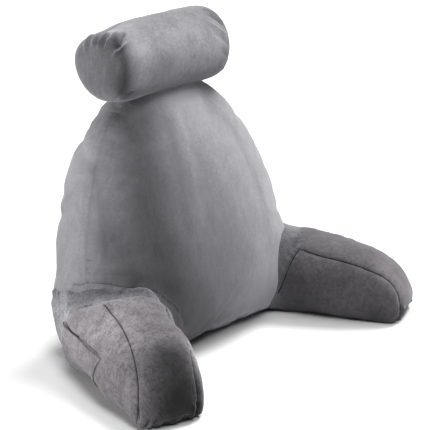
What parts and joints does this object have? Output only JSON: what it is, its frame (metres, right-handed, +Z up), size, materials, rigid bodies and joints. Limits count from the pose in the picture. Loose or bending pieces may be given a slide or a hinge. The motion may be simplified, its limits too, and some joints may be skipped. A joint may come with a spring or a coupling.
{
  "type": "reading pillow with arms",
  "caption": "Free-standing stuffed backrest pillow with an egg-shaped back, splayed armrests, a neck roll on top and a flat side pocket.",
  "frame": {"origin": "on the floor, under the middle of the whole pillow's bounding box", "axes": "+Z up, -Y the way the sitter faces and the arms point, +X to the sitter's left, across both arms"},
  "size_m": [0.8184, 0.4578, 0.6364],
  "materials": {
    "plush_back": "short-pile plush",
    "plush_arms": "short-pile plush",
    "plush_roll": "short-pile plush",
    "plush_pocket": "short-pile plush"
  },
  "bodies": {
    "root": {"back_cushion": "plush_back", "arm_right": "plush_arms", "arm_left": "plush_arms", "neck_roll": "plush_roll", "side_pocket": "plush_pocket"}
  },
  "joints": []
}
